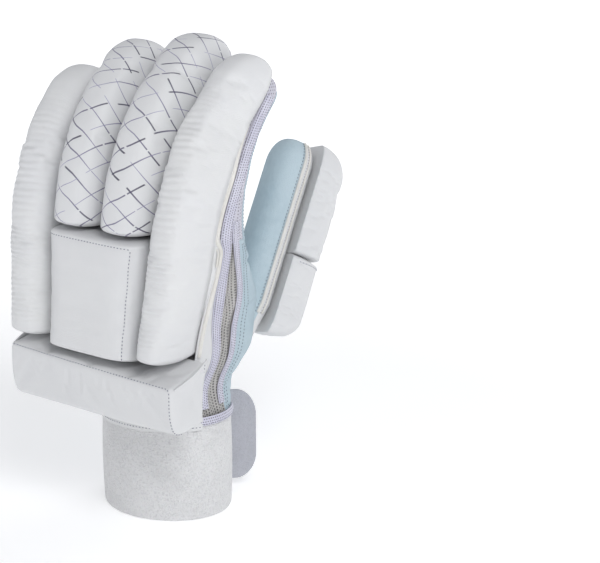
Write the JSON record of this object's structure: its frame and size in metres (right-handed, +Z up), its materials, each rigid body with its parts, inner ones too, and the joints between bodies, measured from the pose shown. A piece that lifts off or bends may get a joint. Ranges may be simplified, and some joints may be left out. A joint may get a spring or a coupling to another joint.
{
  "type": "cricket batting glove",
  "caption": "Left-hand cricket batting glove standing on its wrist cuff, with padded finger rolls, a knuckle panel, a wrist bar, a padded thumb, a leather palm and a strap",
  "frame": {"origin": "middle of the bounding box, at the height of the surface that the cuff stands on", "axes": "+Z up, from the wrist to the finger tips; -Y out of the back of the hand; +X to the thumb side of the left hand"},
  "size_m": [0.1358, 0.1874, 0.2868],
  "materials": {
    "white_leather": "satin",
    "palm_leather": "matte",
    "towelling": "matte",
    "mesh": "matte",
    "strap": "matte"
  },
  "bodies": {
    "root": {"cuff": "towelling", "wrist_strap": "strap", "back_lining": "white_leather", "radial_mesh": "mesh", "ulnar_mesh": "mesh", "palm_leather": "palm_leather", "little_stall": "palm_leather", "little_roll": "white_leather", "ring_stall": "palm_leather", "ring_roll": "white_leather", "middle_stall": "palm_leather", "middle_roll": "white_leather", "index_stall": "palm_leather", "index_roll": "white_leather", "knuckle_panel": "white_leather", "wrist_roll": "white_leather", "thumb_leather": "palm_leather", "thumb_gusset": "white_leather", "thumb_tip_pad": "white_leather", "thumb_base_pad": "white_leather"}
  },
  "joints": []
}
